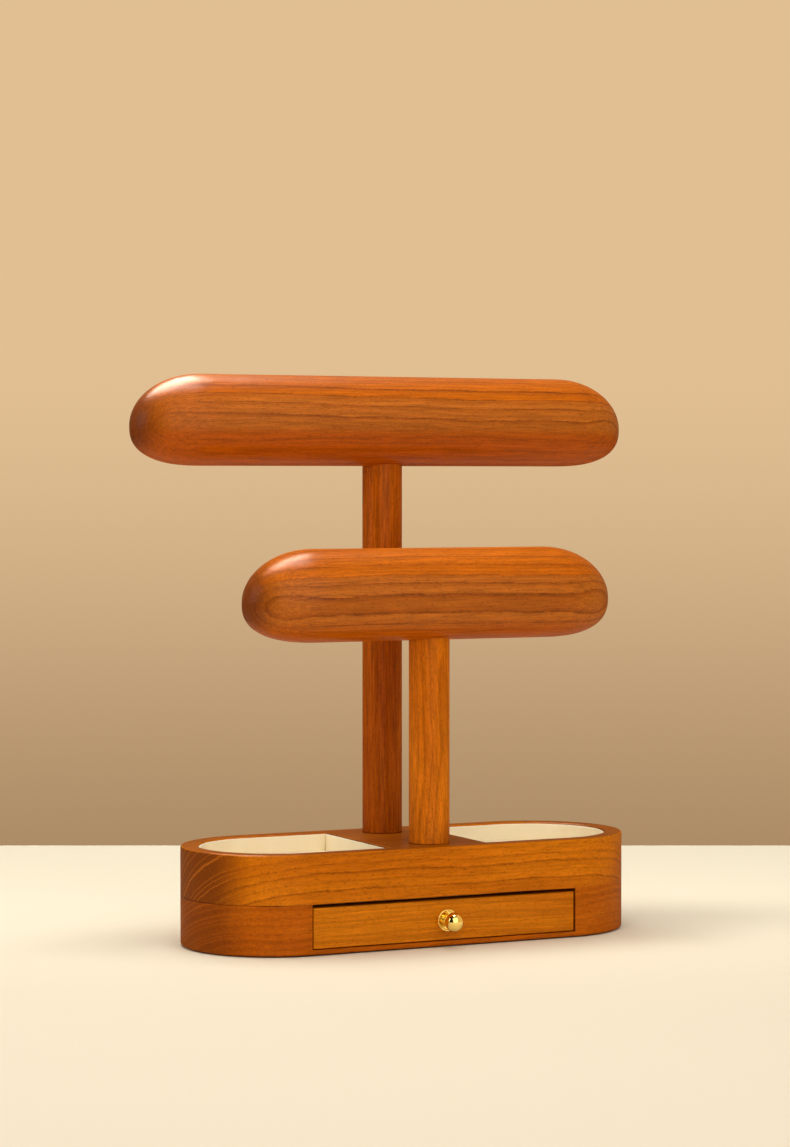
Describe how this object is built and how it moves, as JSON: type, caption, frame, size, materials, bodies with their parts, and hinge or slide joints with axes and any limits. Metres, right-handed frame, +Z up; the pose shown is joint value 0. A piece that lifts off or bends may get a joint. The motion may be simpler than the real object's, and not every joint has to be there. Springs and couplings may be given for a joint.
{
  "type": "jewelry stand with drawer",
  "caption": "Two-tier wooden T-bar stand for bracelets and watches on a rounded base with velvet-lined trays and a sliding drawer",
  "frame": {"origin": "centre of the underside of the base felt, on the table", "axes": "+X to the right along the bars, +Y to the back, +Z up; the drawer opens towards -Y"},
  "size_m": [0.291, 0.1152, 0.3],
  "materials": {
    "upper_bar_wood": "orange-brown hardwood under satin lacquer, grain along the bar, brown band at mid height",
    "lower_bar_wood": "orange-brown hardwood under satin lacquer, grain along the bar",
    "back_post_wood": "reddish hardwood under satin lacquer, fine straight grain up the post",
    "front_post_wood": "orange hardwood under satin lacquer, slanting cathedral grain",
    "tray_wood": "orange-brown hardwood under satin lacquer, grain along the base",
    "housing_wood": "orange-brown hardwood under satin lacquer, slanting grain at the ends",
    "drawer_front_wood": "golden-brown hardwood under satin lacquer, fine straight grain",
    "drawer_box_wood": "pale wood, thin clear lacquer",
    "drawer_panel_wood": "thin plywood panel",
    "tray_velvet": "short-pile cream velvet",
    "drawer_velvet": "short-pile cream velvet",
    "felt": "dark brown pressed felt",
    "polished_gold": "polished, gold plated",
    "insert_brass": "machined brass",
    "fastener_steel": "zinc-plated steel"
  },
  "bodies": {
    "stand": {"base_felt": "felt", "drawer_housing": "housing_wood", "tray_frame": "tray_wood", "left_tray_wall_liner": "tray_velvet", "left_tray_bridge_liner": "tray_velvet", "left_tray_floor_pad": "tray_velvet", "right_tray_wall_liner": "tray_velvet", "right_tray_bridge_liner": "tray_velvet", "right_tray_floor_pad": "tray_velvet", "upper_bar": "upper_bar_wood", "lower_bar": "lower_bar_wood", "back_post": "back_post_wood", "back_post_insert": "insert_brass", "back_post_washer": "fastener_steel", "back_post_bolt": "fastener_steel", "front_post": "front_post_wood", "front_post_insert": "insert_brass", "front_post_washer": "fastener_steel", "front_post_bolt": "fastener_steel"},
    "drawer": {"drawer_front": "drawer_front_wood", "drawer_left_side": "drawer_box_wood", "drawer_right_side": "drawer_box_wood", "drawer_back": "drawer_box_wood", "drawer_bottom": "drawer_panel_wood", "drawer_floor_lining": "drawer_velvet", "drawer_front_lining": "drawer_velvet", "drawer_back_lining": "drawer_velvet", "drawer_left_lining": "drawer_velvet", "drawer_right_lining": "drawer_velvet", "knob_rosette": "polished_gold", "drawer_knob": "polished_gold", "knob_screw": "fastener_steel"}
  },
  "joints": [
    {"name": "drawer_slide", "type": "slide", "parent": "stand", "child": "drawer", "axis": [0, -1, 0], "range_m": [0, 0.07]}
  ]
}
